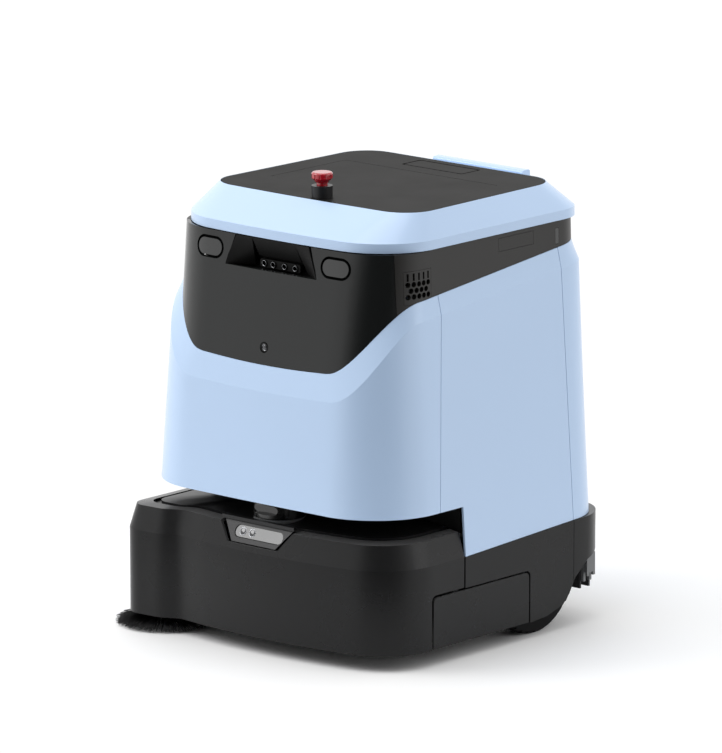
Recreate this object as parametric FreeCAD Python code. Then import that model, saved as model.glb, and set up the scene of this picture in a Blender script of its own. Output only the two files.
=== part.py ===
"""Compact floor-cleaning robot, millimetres.

The robot's front faces -Y, its left side faces +X and +Z is up.  Everything is designed about the
middle plane x = 0 and standing on z = 0.  The side brush reaches out on one side only, so the export
moves every piece sideways by ORIGIN_SHIFT_X, and the origin ends up on the floor under the middle of
the robot's outer box.
"""
import FreeCAD, Part
import functools
import math
import os

ORIGIN_SHIFT_X = 17.0

# Base and chassis
BASE_HALF_WIDTH = 220.0
BASE_BOTTOM = 21.0
BASE_CREASE = 131.0
BASE_TOP = 162.0
BEVEL_INSET = 9.5
DECK_SLOPE = 0.13
TAIL_REAR = 237.0
BUMPER_REAR = -57.5
BUMPER_TRAVEL = 2.0
CHASSIS_LOW = 104.0
CHASSIS_HIGH = 108.0
SKIN = 3.0
SEAM_GAP = 0.8

# Blue body
BODY_FRONT = -213.9
BODY_REAR = 226.0
BODY_BAY_EDGE = 195.0
BAY_REAR = -54.0
BAY_WALL = -53.5
SEAM_FRONT_Y = -88.0
SEAM_REAR_Y = 158.0

# Black upper housing
HOUSING_BASE_Z = 372.0
HOUSING_TOP = 527.0
HOUSING_HALF_WIDTH = 193.0
HOUSING_FRONT = -192.5
HOUSING_REAR = 219.0
MASK_EDGE_Y = -142.0

# Lid
LID_BOTTOM = 528.0
LID_CREASE = 540.0
LID_TOP = 572.0
LID_HALF_WIDTH = 191.5
LID_FRONT = -173.5
LID_REAR = 222.0
PANEL_HALF_WIDTH = 172.0
PANEL_FRONT = -111.3
PANEL_REAR = 189.3
PANEL_THICKNESS = 4.0
LID_HINGE_Y = 230.0
LID_HINGE_Z = 531.0

# Emergency stop button, on the panel's front edge
STOP_X = 13.0
STOP_Y = -94.0
STOP_RADIUS = 13.5
STOP_TRAVEL = 4.0

# Flap in the panel, over the filling cup
FLAP_X0, FLAP_X1 = -55.0, 43.0
FLAP_Y0, FLAP_Y1 = 141.0, 174.0
FLAP_THICKNESS = 3.0
FLAP_HINGE_Y = 171.5
FLAP_HINGE_Z = 569.0
FLAP_PIN_RADIUS = 1.2
FLAP_SLOT = (-57.0, 46.0, 138.0, 176.0)
FILL_NECK_Y = 154.0
FILL_NECK_RADIUS = 12.0

# Running gear
WHEEL_RADIUS = 75.0
WHEEL_Y = 101.0
WHEEL_OUTER_X = 205.0
WHEEL_WIDTH = 40.0
CASTER_X, CASTER_Y = 80.0, -130.0
CASTER_RADIUS = 25.0
CASTER_TRAIL = 15.0
ROLLER_Y, ROLLER_Z = -25.0, 47.0
ROLLER_RADIUS = 45.0
ROLLER_HALF_LENGTH = 176.0
ROLLER_PULLEY_RADIUS = 20.0
MOTOR_PULLEY_RADIUS = 12.0
MOTOR_Z = 133.0
BELT_X = -207.0
BELT_WIDTH = 8.0
SIDE_BRUSH_X, SIDE_BRUSH_Y = -188.0, -172.0
SIDE_BRUSH_RADIUS = 66.0
LIDAR_Y = -161.0
LIDAR_RADIUS = 33.0
SQUEEGEE_Y = 202.5
SQUEEGEE_LOW = 40.6
SQUEEGEE_TRAVEL = 39.0

# Side doors, one each side, hinged along their bottom edge
DOOR_Y0, DOOR_Y1 = -116.0, 69.5
DOOR_Z0, DOOR_Z1 = 22.0, 88.0
DOOR_HINGE_X, DOOR_HINGE_Z = 214.5, 26.5

# Inside the casing
TRAY_TOP = 208.0
TANK_TOP = 478.0
CLEAN_NECK = (-60.0, 32.0)
RECOVERY_NECK = (120.0, 45.0)
FAN_X, FAN_Y = 112.0, -4.0
PUMP_X = -115.0

RUNNING_CLEARANCE = 0.06
FIT_GAP = 0.4

X_AXIS = FreeCAD.Vector(1, 0, 0)
Y_AXIS = FreeCAD.Vector(0, 1, 0)
Z_AXIS = FreeCAD.Vector(0, 0, 1)


def vec(x, y, z):
    return FreeCAD.Vector(x, y, z)


# ---- Basic solids ----

def block(x0, x1, y0, y1, z0, z1):
    return Part.makeBox(x1 - x0, y1 - y0, z1 - z0, vec(x0, y0, z0))


def rod(radius, start, length, direction):
    return Part.makeCylinder(radius, length, start, direction)


def tube(outer, inner, start, length, direction):
    return rod(outer, start, length, direction).cut(rod(inner, start, length, direction))


def join(shapes):
    first = shapes[0]
    return first.fuse(shapes[1:]).removeSplitter()


def subtract(shape, tools):
    for tool in tools:
        shape = shape.cut(tool)
    return shape


def mirrored(shape):
    return shape.mirror(vec(0, 0, 0), X_AXIS)


def rounded_block(x0, x1, y0, y1, z0, z1, radius, axis):
    """A box whose four edges along one axis are rounded."""
    shape = block(x0, x1, y0, y1, z0, z1)
    edges = [e for e in shape.Edges if abs(e.tangentAt(e.FirstParameter).dot(axis)) > 0.99]
    return shape.makeFillet(radius, edges)


def stadium_prism(cx, cz, width, height, y0, y1):
    """A prism along Y with a stadium section, lying lengthwise along X."""
    r = height / 2
    half = width / 2 - r
    shapes = [block(cx - half, cx + half, y0, y1, cz - r, cz + r)]
    for side in (-half, half):
        shapes.append(rod(r, vec(cx + side, y0, cz), y1 - y0, Y_AXIS))
    return join(shapes)


def prism(points, direction):
    """A solid pushed out of a flat polygon."""
    face = Part.Face(Part.makePolygon(points + [points[0]]))
    return face.extrude(direction)


# ---- Closed shells built round the robot ----

class Plan:
    """A rounded plan outline: points going once round, each with its outward normal."""

    def __init__(self, half_width, front, rear, front_radius, rear_radius, bow, rear_half_width=None):
        self.points = []
        rear_half_width = rear_half_width or half_width
        right = self.right_half(half_width, front, rear, front_radius, rear_radius)
        left = [(-x, y) for x, y in reversed(right[1:-1])]
        for x, y in right + left:
            along = (y - front) / (rear - front)
            narrowing = 1 + (rear_half_width / half_width - 1) * along
            bowing = bow * (x / half_width) ** 2 * max(0.0, 1 - 2 * along)
            self.points.append((x * narrowing, y + bowing))
        self.normals = outward_normals(self.points)

    @staticmethod
    def right_half(half_width, front, rear, front_radius, rear_radius):
        """Points from the middle of the rear, round the +X side, to the middle of the front."""
        points = []
        rear_line = half_width - rear_radius
        for i in range(5):
            points.append((rear_line * i / 5, rear))
        for i in range(10):
            a = math.pi / 2 * i / 10
            points.append((rear_line + rear_radius * math.sin(a), rear - rear_radius * (1 - math.cos(a))))
        side_start, side_end = rear - rear_radius, front + front_radius
        for i in range(12):
            points.append((half_width, side_start + (side_end - side_start) * i / 12))
        front_line = half_width - front_radius
        for i in range(14):
            a = math.pi / 2 * i / 14
            points.append((front_line + front_radius * math.cos(a), side_end - front_radius * math.sin(a)))
        for i in range(8):
            points.append((front_line * (1 - i / 7), front))
        return points


def outward_normals(points):
    normals = []
    count = len(points)
    for i in range(count):
        x0, y0 = points[i - 1]
        x1, y1 = points[(i + 1) % count]
        dx, dy = x1 - x0, y1 - y0
        length = math.hypot(dx, dy)
        normals.append((-dy / length, dx / length))
    area = sum(points[i - 1][0] * points[i][1] - points[i][0] * points[i - 1][1] for i in range(count))
    sign = -1 if area > 0 else 1
    return [(sign * nx, sign * ny) for nx, ny in normals]


def taper(rates, normal):
    """Inward lean in mm per mm of height, for a wall facing along the normal."""
    side, front, rear = rates
    nx, ny = normal
    return side * nx * nx + (front if ny < 0 else rear) * ny * ny


def level(plan, z, inset=0.0):
    """The plan's outline at one height, moved inward."""
    return [vec(x - nx * inset, y - ny * inset, z)
            for (x, y), (nx, ny) in zip(plan.points, plan.normals)]


def leaning(plan, rates, base_z, height_of, inset=0.0, drop=0.0):
    """A loop on a leaning wall, at the height that height_of gives for each y."""
    loop = []
    for (x, y), normal in zip(plan.points, plan.normals):
        nx, ny = normal
        rate = taper(rates, normal)
        z = base_z
        for _ in range(25):
            lean = rate * (z - base_z)
            z = height_of(y - ny * lean)
        lean = rate * (z - base_z) + inset
        loop.append(vec(x - nx * lean, y - ny * lean, z - drop))
    return loop


def closed_curve(points, parameters):
    curve = Part.BSplineCurve()
    curve.interpolate(Points=points, PeriodicFlag=True, Parameters=parameters)
    return curve.toShape()


def ring(loops):
    """A closed ring-shaped solid whose skin runs from loop to loop and back to the first."""
    parameters = [0.0]
    first = loops[0]
    for i in range(len(first)):
        parameters.append(parameters[-1] + (first[(i + 1) % len(first)] - first[i]).Length)
    edges = [closed_curve(loop, parameters) for loop in loops]
    faces = [Part.makeRuledSurface(edges[i - 1], edges[i]) for i in range(len(edges))]
    shell = Part.makeShell(faces)
    shell.sewShape()
    solid = Part.makeSolid(shell)
    if solid.Volume < 0:
        solid.reverse()
    return solid


# ---- Shapes shared by several pieces ----

BODY_PLAN = Plan(BASE_HALF_WIDTH, BODY_FRONT, BODY_REAR, 100.0, 58.0, 4.0)
BODY_LEAN = (0.0703, 0.065, 0.027)
HOUSING_PLAN = Plan(HOUSING_HALF_WIDTH, HOUSING_FRONT, HOUSING_REAR, 86.0, 52.0, 4.0)
HOUSING_LEAN = (0.025, 0.1274, 0.02)
LID_PLAN = Plan(LID_HALF_WIDTH, LID_FRONT, LID_REAR, 80.0, 50.0, 12.0)
PANEL_PLAN = Plan(PANEL_HALF_WIDTH, PANEL_FRONT, PANEL_REAR, 43.0, 43.0, 5.0, 165.0)


def shoulder_top(y):
    """Height of the blue body's upper edge: a gentle rise along the sides and a deep dip in front."""
    dip = max(0.0, (-112.0 - y) / 80.5)
    return 469.0 + 0.107 * (y + 69.0) - 85.0 * dip ** 2


def shoulder_crease(y):
    """Height of the crease where the bright shoulder band starts."""
    dip = max(0.0, (-120.0 - y) / 80.5)
    return 443.6 + 0.096 * (y + 75.0) - 94.5 * dip ** 1.8


def housing_top(y):
    """The upper housing ends level, just under the lid."""
    return HOUSING_TOP


def side_base(y):
    """Height of the joint between the blue body and the black base, along the sides."""
    return BASE_CREASE + 0.045 * (y + 54.0)


@functools.cache
def body_ring():
    """The blue body's skin: upright walls, the bright shoulder above the crease, and a turned-in lip."""
    foot_z, lip_gap, lip_width, lip_depth = 125.0, 0.6, 1.5, 12.0
    crease = leaning(BODY_PLAN, BODY_LEAN, BASE_CREASE, shoulder_crease)
    crease_inner = leaning(BODY_PLAN, BODY_LEAN, BASE_CREASE, shoulder_crease, SKIN)
    lip_inner = on_housing(shoulder_top, lip_width)
    loops = [level(BODY_PLAN, foot_z), crease, lowered(on_housing(shoulder_top), lip_gap),
             lowered(lip_inner, lip_gap), lowered(lip_inner, lip_depth), crease_inner,
             level(BODY_PLAN, foot_z, SKIN)]
    return ring(loops)


def lowered(loop, distance):
    return [vec(p.x, p.y, p.z - distance) for p in loop]


def side_prism(outline):
    """A prism across the whole width from a side-view outline of (y, z) points."""
    return prism([vec(-300, y, z) for y, z in outline], vec(600, 0, 0))


@functools.cache
def body_with_bay():
    """The blue body, open below: the LiDAR bay in front, and the joint with the base behind it."""
    bay = block(-300, 300, -300, BAY_REAR, 100, BODY_BAY_EDGE)
    below = side_prism([(-100, 100), (-100, side_base(-100)), (300, side_base(300)), (300, 100)])
    return subtract(body_ring(), [bay, below])


def seam_front(offset):
    """Front seam, leaning back a little towards the top: everything behind it."""
    lean = 0.083
    low, high = 100.0, 520.0
    y_low = SEAM_FRONT_Y - 18.0 + offset
    y_high = y_low + lean * (high - low)
    return side_prism([(y_low, low), (y_high, high), (400, high), (400, low)])


def seam_rear(offset):
    """Rear seam: everything behind it."""
    return block(-300, 300, SEAM_REAR_Y + offset, 400, 0, 520)


def front_shell():
    return body_with_bay().cut(seam_front(-SEAM_GAP / 2))


def body_side_panels():
    middle = body_with_bay().common(seam_front(SEAM_GAP / 2)).cut(seam_rear(-SEAM_GAP / 2))
    return [middle.common(block(0, 300, -300, 300, 0, 600)), middle.common(block(-300, 0, -300, 300, 0, 600))]


def rear_shell():
    return body_with_bay().common(seam_rear(SEAM_GAP / 2))


# ---- Black upper housing: mask in front, band round the sides and the rear ----

def on_housing(height_of, inset=0.0, drop=0.0):
    """A loop on the upper housing's leaning wall."""
    return leaning(HOUSING_PLAN, HOUSING_LEAN, HOUSING_BASE_Z, height_of, inset, drop)


@functools.cache
def housing_ring():
    """The housing's wall, down to the blue body's edge, with a tongue that reaches in behind it."""
    tongue_inset, tongue_depth, inner = 2.2, 9.0, SKIN + 2.0
    return ring([on_housing(housing_top), on_housing(shoulder_top), on_housing(shoulder_top, tongue_inset),
                 on_housing(shoulder_top, tongue_inset, tongue_depth), on_housing(shoulder_top, inner, tongue_depth),
                 on_housing(housing_top, inner)])


CAMERA_X = 106.0
CAMERA_Z = 505.5
MASK_DEPTH = (-240.0, -140.0)


def camera_cut(extra):
    """Both camera windows' stadium outlines, made larger or smaller."""
    return [stadium_prism(side * CAMERA_X, CAMERA_Z, 48 + extra, 28 + extra, *MASK_DEPTH)
            for side in (-1, 1)]


POCKET_BOTTOM = 487.5


def pocket_mouth(gap):
    """The recess over the depth camera: a wide mouth below, narrowing to the lid's edge."""
    low, high = POCKET_BOTTOM + gap, 540.0
    return prism([vec(-77 + gap, -230, low), vec(77 - gap, -230, low), vec(59.5 - gap, -230, high),
                  vec(-59.5 + gap, -230, high)], vec(0, 100, 0))


@functools.cache
def mask_ring():
    return housing_ring().cut(block(-300, 300, MASK_EDGE_Y - 0.3, 300, 300, 600))


def front_mask():
    """The glossy front, with camera windows, a recess for the depth camera and a small round hole."""
    hole = rod(7.0, vec(0, -230, 392), 60, Y_AXIS)
    return subtract(mask_ring(), camera_cut(0) + [pocket_mouth(0.0), hole])


def pocket_liner():
    """The recess's inner walls: a slanted ceiling between two twisted cheeks, over a dark slot."""
    top, slot_top = HOUSING_TOP - 0.3, 501.0
    ceiling = side_prism([(-172.3, top), (-158.5, slot_top), (-147, slot_top), (-147, slot_top + 2.5),
                          (-157, slot_top + 2.5), (-168.5, top)]).common(block(-36, 36, -200, -140, 480, 540))
    back = block(-80, 80, -149.5, -147, 484, slot_top + 2.5)
    floor = block(-80, 80, -172.0, -147, 481.5, 484)
    cheeks = []
    for side in (-1, 1):
        inner_edge = Part.makeLine(vec(side * 36, -172.3, top), vec(side * 44, -156, POCKET_BOTTOM))
        outer_edge = Part.makeLine(vec(side * 61, -174.0, top), vec(side * 78, -178.5, POCKET_BOTTOM))
        cheeks.append(Part.makeRuledSurface(inner_edge, outer_edge).extrude(vec(0, 3.0, 0)))
    walls = [cheek.cut(ceiling).common(pocket_mouth(0.3)) for cheek in cheeks]
    return [join([ceiling, back, floor])] + walls


def camera_windows():
    """Each window plate and the plate that closes its groove from behind."""
    return [mask_ring().common(plate) for plate in camera_cut(-7.0)]


def camera_bezels():
    """Dark plates behind the two windows' grooves."""
    bezels = []
    for side in (-1, 1):
        bezels.append(stadium_prism(side * CAMERA_X, CAMERA_Z, 54, 34, -162.0, -159.0))
    return bezels


def depth_camera():
    """The bar-shaped stereo camera in the mask's slot, with its lens barrels."""
    low, high, front, back = 487.0, 497.5, -159.0, -151.0
    body = rounded_block(-34, 34, front, back, low, high, 3.0, Y_AXIS)
    barrels = [tube(4.2, 3.0, vec(x, front - 1.5, (low + high) / 2), 2.0, Y_AXIS) for x in (-26, -11, 8, 26)]
    return join([body] + barrels)


def front_camera():
    """The small round camera low in the mask."""
    barrel = rod(6.4, vec(0, -187.0, 392), 16, Y_AXIS)
    hood = tube(6.4, 4.6, vec(0, -189.8, 392), 3.0, Y_AXIS)
    lens = Part.makeSphere(5.2, vec(0, -184.5, 392)).common(block(-10, 10, -200, -186, 380, 400))
    return join([barrel, hood, lens])


VENT = (-133.0, -88.0, 462.0, 505.0)
PORT = (43.0, 111.0, 504.5, 522.0)
LIGHT = (153.5, 161.0, 497.5, 518.5)


def side_window(window, extra=0.0):
    y0, y1, z0, z1 = window
    return block(-300, 300, y0 - extra, y1 + extra, z0 - extra, z1 + extra)


@functools.cache
def band_ring():
    return housing_ring().common(block(-300, 300, MASK_EDGE_Y + 0.3, 300, 300, 600))


def upper_band():
    """The matt band, with windows for the two vents, the service port and the status lights."""
    plus_side = block(0, 300, -300, 300, 0, 600)
    cuts = [side_window(VENT), side_window(LIGHT), side_window(PORT).common(plus_side)]
    return subtract(band_ring(), cuts)


def side_piece(window, side):
    """The plate that fills one of the band's windows."""
    half = block(0, 300, -300, 300, 0, 600) if side > 0 else block(-300, 0, -300, 300, 0, 600)
    return band_ring().common(side_window(window, -FIT_GAP)).common(half)


def vent_grille(side):
    """Short upright slots over staggered rows of small holes, all cut right through."""
    y0, y1, z0, z1 = VENT
    columns, rows, slot_length, hole_radius, row_pitch = 5, 3, 9.5, 3.5, 7.8
    pitch = (y1 - y0) / (columns + 0.4)
    slot_top = z1 - 3.0
    first_row = slot_top - slot_length - hole_radius - 1.2
    cuts = []
    for column in range(columns):
        y = y0 + pitch * (column + 0.7)
        cuts.append(block(-300, 300, y - 1.4, y + 1.4, slot_top - slot_length, slot_top))
        for row in range(rows):
            shift = pitch / 2 if row % 2 else 0.0
            if column < columns - 1 or not shift:
                cuts.append(rod(hole_radius, vec(-300, y + shift, first_row - row_pitch * row), 600, X_AXIS))
    return subtract(side_piece(VENT, side), cuts)


# ---- Lid ----

def lid_rim():
    """The blue rim: an upright edge, a wide slope up to the panel and a ledge that carries it."""
    outer = [level(LID_PLAN, LID_BOTTOM), level(LID_PLAN, LID_CREASE, 0.3),
             level(PANEL_PLAN, LID_TOP, -0.6), level(PANEL_PLAN, LID_TOP - PANEL_THICKNESS - 0.2, -0.6),
             level(PANEL_PLAN, LID_TOP - PANEL_THICKNESS - 0.2, 8.0), level(PANEL_PLAN, 564.0, 8.0),
             level(LID_PLAN, 538.0, 4.0), level(LID_PLAN, LID_BOTTOM, 4.0)]
    rim = ring(outer)
    stop_well = rod(STOP_RADIUS + 0.5, vec(STOP_X, STOP_Y, 500), 100, Z_AXIS)
    return rim.cut(stop_well)


def hinge_cover():
    """The hump behind the lid: it covers the hinge and turns with the lid."""
    y0, y1 = LID_REAR + 0.4, LID_HINGE_Y + 8.0
    shape = rounded_block(-76, 76, y0, y1, 537.2, 568, 3.5, X_AXIS)
    knuckle = rod(5.5, vec(-40, LID_HINGE_Y, LID_HINGE_Z), 80, X_AXIS)
    web = block(-40, 40, LID_HINGE_Y - 3, LID_HINGE_Y + 3, LID_HINGE_Z, 540)
    bore = rod(3.0 + RUNNING_CLEARANCE, vec(-80, LID_HINGE_Y, LID_HINGE_Z), 160, X_AXIS)
    return join([shape, knuckle, web]).cut(bore)


def hinge_bracket():
    """Two ears behind the black band that carry the lid's hinge pin."""
    plate = block(-62, 62, 220.2, 223.2, 500, 524)
    ears = []
    for side in (-1, 1):
        x = 41 if side > 0 else -51
        ear = join([block(x, x + 10, 220.2, LID_HINGE_Y + 5, 505, LID_HINGE_Z),
                    rod(5.0, vec(x, LID_HINGE_Y, LID_HINGE_Z), 10, X_AXIS)])
        ears.append(ear)
    bore = rod(3.0, vec(-80, LID_HINGE_Y, LID_HINGE_Z), 160, X_AXIS)
    inside = block(-70, 70, 200, 224, 524.5, 545)
    return subtract(join([plate] + ears), [bore, inside])


def lid_hinge_pin():
    return rod(3.0, vec(-53, LID_HINGE_Y, LID_HINGE_Z), 106, X_AXIS)


DISPLAY = (-130.0, 130.0, -34.0, 112.0)
DISPLAY_DEPTH = 1.5


def lid_panel():
    """The dark panel, with a pocket for the display, a slot for the flap and a hole for the stop."""
    z0 = LID_TOP - PANEL_THICKNESS
    panel = ring([level(PANEL_PLAN, z0), level(PANEL_PLAN, LID_TOP - 0.8), level(PANEL_PLAN, LID_TOP, 0.8),
                  level(PANEL_PLAN, LID_TOP, 12.0), level(PANEL_PLAN, z0, 12.0)])
    middle = prism(level(PANEL_PLAN, z0, 11.0), vec(0, 0, PANEL_THICKNESS))
    panel = panel.fuse(middle).removeSplitter()
    x0, x1, y0, y1 = DISPLAY
    pocket = rounded_block(x0, x1, y0, y1, LID_TOP - DISPLAY_DEPTH, LID_TOP + 5, 5.0, Z_AXIS)
    flap_slot = rounded_block(*FLAP_SLOT, z0 - 5, LID_TOP + 5, 3.0, Z_AXIS)
    pin_seats = flap_hinge_rod(FLAP_PIN_RADIUS)
    stop_hole = rod(STOP_RADIUS + 0.5, vec(STOP_X, STOP_Y, z0 - 5), 20, Z_AXIS)
    return subtract(panel, [pocket, flap_slot, pin_seats, stop_hole])


def display():
    x0, x1, y0, y1 = DISPLAY
    gap = 0.4
    return rounded_block(x0 + gap, x1 - gap, y0 + gap, y1 - gap, LID_TOP - DISPLAY_DEPTH, LID_TOP - 0.1, 4.6,
                         Z_AXIS)


def fill_cup():
    """The cup under the flap, with the clean-water filling neck in its floor."""
    x0, x1, y0, y1 = FLAP_SLOT
    top, floor, wall = LID_TOP - PANEL_THICKNESS - 0.1, 541.0, 2.0
    outer = rounded_block(x0 - wall, x1 + wall, y0 - wall, y1 + wall, floor - wall, top, 5.0, Z_AXIS)
    inner = rounded_block(x0, x1, y0, y1, floor, top + 5, 3.0, Z_AXIS)
    neck = rod(FILL_NECK_RADIUS, vec((x0 + x1) / 2, FILL_NECK_Y, floor - 10), 30, Z_AXIS)
    pin_room = flap_hinge_rod(FLAP_PIN_RADIUS + FIT_GAP)
    return subtract(outer, [inner, neck, pin_room])


def flap_hinge_rod(radius):
    """A round bar on the flap's hinge axis, reaching a little way into the panel at both ends."""
    x0, x1 = FLAP_SLOT[0] - 3.0, FLAP_SLOT[1] + 3.0
    return rod(radius, vec(x0, FLAP_HINGE_Y, FLAP_HINGE_Z), x1 - x0, X_AXIS)


def flap():
    """The finger flap, with two knuckles near its rear edge."""
    top = LID_TOP - 0.2
    shapes = [rounded_block(FLAP_X0, FLAP_X1, FLAP_Y0, FLAP_Y1, top - FLAP_THICKNESS, top, 3.0, Z_AXIS)]
    for x in (FLAP_X0 + 8, FLAP_X1 - 18):
        shapes.append(rod(2.5, vec(x, FLAP_HINGE_Y, FLAP_HINGE_Z), 10, X_AXIS))
    return join(shapes).cut(flap_hinge_rod(FLAP_PIN_RADIUS + RUNNING_CLEARANCE))


def flap_pin():
    return flap_hinge_rod(FLAP_PIN_RADIUS)


def stop_body():
    """The emergency stop's black barrel and switch block, fixed in the lid."""
    barrel = tube(STOP_RADIUS, 7.5, vec(STOP_X, STOP_Y, 545), 588 - 545, Z_AXIS)
    floor = rod(STOP_RADIUS, vec(STOP_X, STOP_Y, 545), 4, Z_AXIS)
    return join([barrel, floor])


def stop_plunger():
    """The stem that slides down when the stop is pressed."""
    stem = rod(7.0, vec(STOP_X, STOP_Y, 556), 36, Z_AXIS)
    neck = Part.makeCone(8.5, 10.5, 2.6, vec(STOP_X, STOP_Y, 592.4 - 0.2), Z_AXIS)
    pilot = rod(3.0, vec(STOP_X, STOP_Y, 592), 7, Z_AXIS)
    return join([stem, neck, pilot])


def stop_cap():
    """The red mushroom cap, which twists to release."""
    z = 595.2
    flare = Part.makeCone(11.0, STOP_RADIUS, 2.6, vec(STOP_X, STOP_Y, z), Z_AXIS)
    head = rod(STOP_RADIUS, vec(STOP_X, STOP_Y, z + 2.6), 7.4, Z_AXIS)
    cap = join([flare, head])
    top_edge = [e for e in cap.Edges if abs(e.CenterOfMass.z - (z + 10.0)) < 0.01]
    cap = cap.makeFillet(2.5, top_edge)
    ribs = []
    for i in range(12):
        a = 2 * math.pi * i / 12
        centre = vec(STOP_X + (STOP_RADIUS + 0.6) * math.cos(a), STOP_Y + (STOP_RADIUS + 0.6) * math.sin(a), z)
        ribs.append(rod(1.3, centre, 8.0, Z_AXIS))
    socket = rod(3.0 + RUNNING_CLEARANCE, vec(STOP_X, STOP_Y, z - 1), 6.0, Z_AXIS)
    return subtract(cap, ribs + [socket])


# ---- Base: bumper, side panels, tail, doors ----

def base_plan_edges():
    """The base outline in plan: a bowed front, a large left corner, and on the right a lobe that
    reaches forward round the side brush."""
    w = BASE_HALF_WIDTH
    bow_front, bow_radius = -217.0, 830.0

    def on_bow(x):
        return bow_front + bow_radius - math.sqrt(bow_radius ** 2 - x * x)

    left_start = vec(w, -125, 0)
    left_end = vec(148, on_bow(148), 0)
    dip = vec(-122, on_bow(-122), 0)
    lobe_start = vec(-163, -221.0, 0)
    lobe_end = vec(-191, -222.5, 0)
    corner_end = vec(-w, -193.5, 0)
    rear_y, r = 60.0, 50.0
    bulge = r * (1 - math.sqrt(0.5))
    edges = [
        Part.LineSegment(vec(w, rear_y - r, 0), left_start),
        Part.Arc(left_start, vec(203.5, -172.5, 0), left_end),
        Part.Arc(left_end, vec(0, bow_front, 0), dip),
        lobe_curve(dip, lobe_start),
        Part.LineSegment(lobe_start, lobe_end),
        Part.Arc(lobe_end, vec(-211.3, -213.8, 0), corner_end),
        Part.LineSegment(corner_end, vec(-w, rear_y - r, 0)),
        Part.Arc(vec(-w, rear_y - r, 0), vec(-w + bulge, rear_y - bulge, 0), vec(-w + r, rear_y, 0)),
        Part.LineSegment(vec(-w + r, rear_y, 0), vec(w - r, rear_y, 0)),
        Part.Arc(vec(w - r, rear_y, 0), vec(w - bulge, rear_y - bulge, 0), vec(w, rear_y - r, 0)),
    ]
    return [edge.toShape() for edge in edges]


def lobe_curve(start, end):
    """An S-shaped transition from the bow to the lobe."""
    curve = Part.BezierCurve()
    curve.setPoles([start, start + vec(-16, 2.2, 0), end + vec(20, 1.0, 0), end])
    return curve


class SampledPlan:
    """Points along a closed wire, closer together the tighter it bends, with outward normals."""

    def __init__(self, edges):
        self.points = []
        for edge in edges:
            bend = max(edge.curvatureAt(edge.FirstParameter + share * (edge.LastParameter - edge.FirstParameter))
                       for share in (0.1, 0.5, 0.9))
            spacing = min(26.0, max(5.0, 0.3 / max(bend, 0.001)))
            pieces = max(2, round(edge.Length / spacing))
            self.points += [(p.x, p.y) for p in edge.discretize(Number=pieces + 1)[:-1]]
        self.normals = outward_normals(self.points)


BASE_PLAN = SampledPlan(base_plan_edges())


def base_front_half():
    return block(-300, 300, -300, BUMPER_REAR, 0, 300)


def door_window(extra):
    """The door opening through both sides of the base."""
    window = rounded_block(-300, 300, DOOR_Y0 - extra, DOOR_Y1 + extra, DOOR_Z0 - 30, DOOR_Z1 + extra, 8.0, X_AXIS)
    return window


def notch(extra):
    """The trapezoid notch in the middle of the front bevel, for the sensor bracket."""
    points = [vec(-42 - extra, -260, 138), vec(42 + extra, -260, 138), vec(69 + extra, -260, 172),
              vec(-69 - extra, -260, 172)]
    return prism(points, vec(0, 120, 0))


def rim_loop(factor, rise=0.0):
    """The bevel's upper edge drawn in towards the middle of the base, on the deck's slight slope."""
    rise += DECK_SLOPE * (1 - factor) * BASE_HALF_WIDTH
    return [vec(p.x * factor, p.y * factor, p.z + rise) for p in level(BASE_PLAN, BASE_TOP, BEVEL_INSET)]


BUMPER_LIP = 0.927
DECK_EDGE = 0.892


def bumper():
    """The front bumper: an upright wall, a leaning bevel and a top lip that laps over the deck."""
    loops = [level(BASE_PLAN, BASE_BOTTOM, 0.4), level(BASE_PLAN, BASE_CREASE), rim_loop(1.0),
             rim_loop(BUMPER_LIP), rim_loop(BUMPER_LIP, -2.5), level(BASE_PLAN, BASE_TOP - 2.8, BEVEL_INSET + 2.8),
             level(BASE_PLAN, BASE_CREASE - 1, SKIN), level(BASE_PLAN, BASE_BOTTOM, SKIN + 0.4)]
    door_clearance = 3.6
    window = door_window(door_clearance).cut(block(-205, 205, -300, 300, 0, 300))
    return subtract(ring(loops).common(base_front_half()), [notch(0), window])


def front_deck():
    """The fixed top of the base under the LiDAR bay: a low dome that slides under the bumper's lip."""
    under, crown, step, sheet = 0.934, 0.66, 3.6, 2.5
    crown_rise = 8.0 - DECK_SLOPE * (1 - crown) * BASE_HALF_WIDTH
    skirt = ring([rim_loop(under, -step), rim_loop(DECK_EDGE, -step), rim_loop(DECK_EDGE),
                  rim_loop(crown, crown_rise), rim_loop(crown, crown_rise - sheet), rim_loop(DECK_EDGE, -step - sheet),
                  rim_loop(under, -step - sheet)])
    centre = prism(rim_loop(crown + 0.005, crown_rise - sheet), vec(0, 0, sheet))
    deck = skirt.fuse(centre).common(block(-300, 300, -300, BAY_WALL - 0.5, 0, 300))
    lidar_hole = rod(LIDAR_RADIUS + 1.0, vec(0, LIDAR_Y, 100), 100, Z_AXIS)
    bracket_room = block(-72, 72, -260, -192, 130, 180)
    return subtract(deck, [lidar_hole, bracket_room])


TAIL_PLAN = Plan(BASE_HALF_WIDTH, -300.0, TAIL_REAR, 60.0, 56.0, 0.0)


def skirt_ring():
    loops = [level(TAIL_PLAN, BASE_BOTTOM), level(TAIL_PLAN, 145.0),
             level(TAIL_PLAN, 145.0, SKIN), level(TAIL_PLAN, BASE_BOTTOM, SKIN)]
    return ring(loops)


def wheel_sweep():
    """What is cut away below the skirts: straight, then sweeping up behind the wheel to the tail."""
    lower = [(-400, 0), (300, 0), (300, 98), (215, 92), (186, 84), (161, 64), (150, 46), (143, 37), (129, 30.4),
             (106, 23.8), (73, BASE_BOTTOM), (-400, BASE_BOTTOM)]
    return side_prism(lower)


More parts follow.
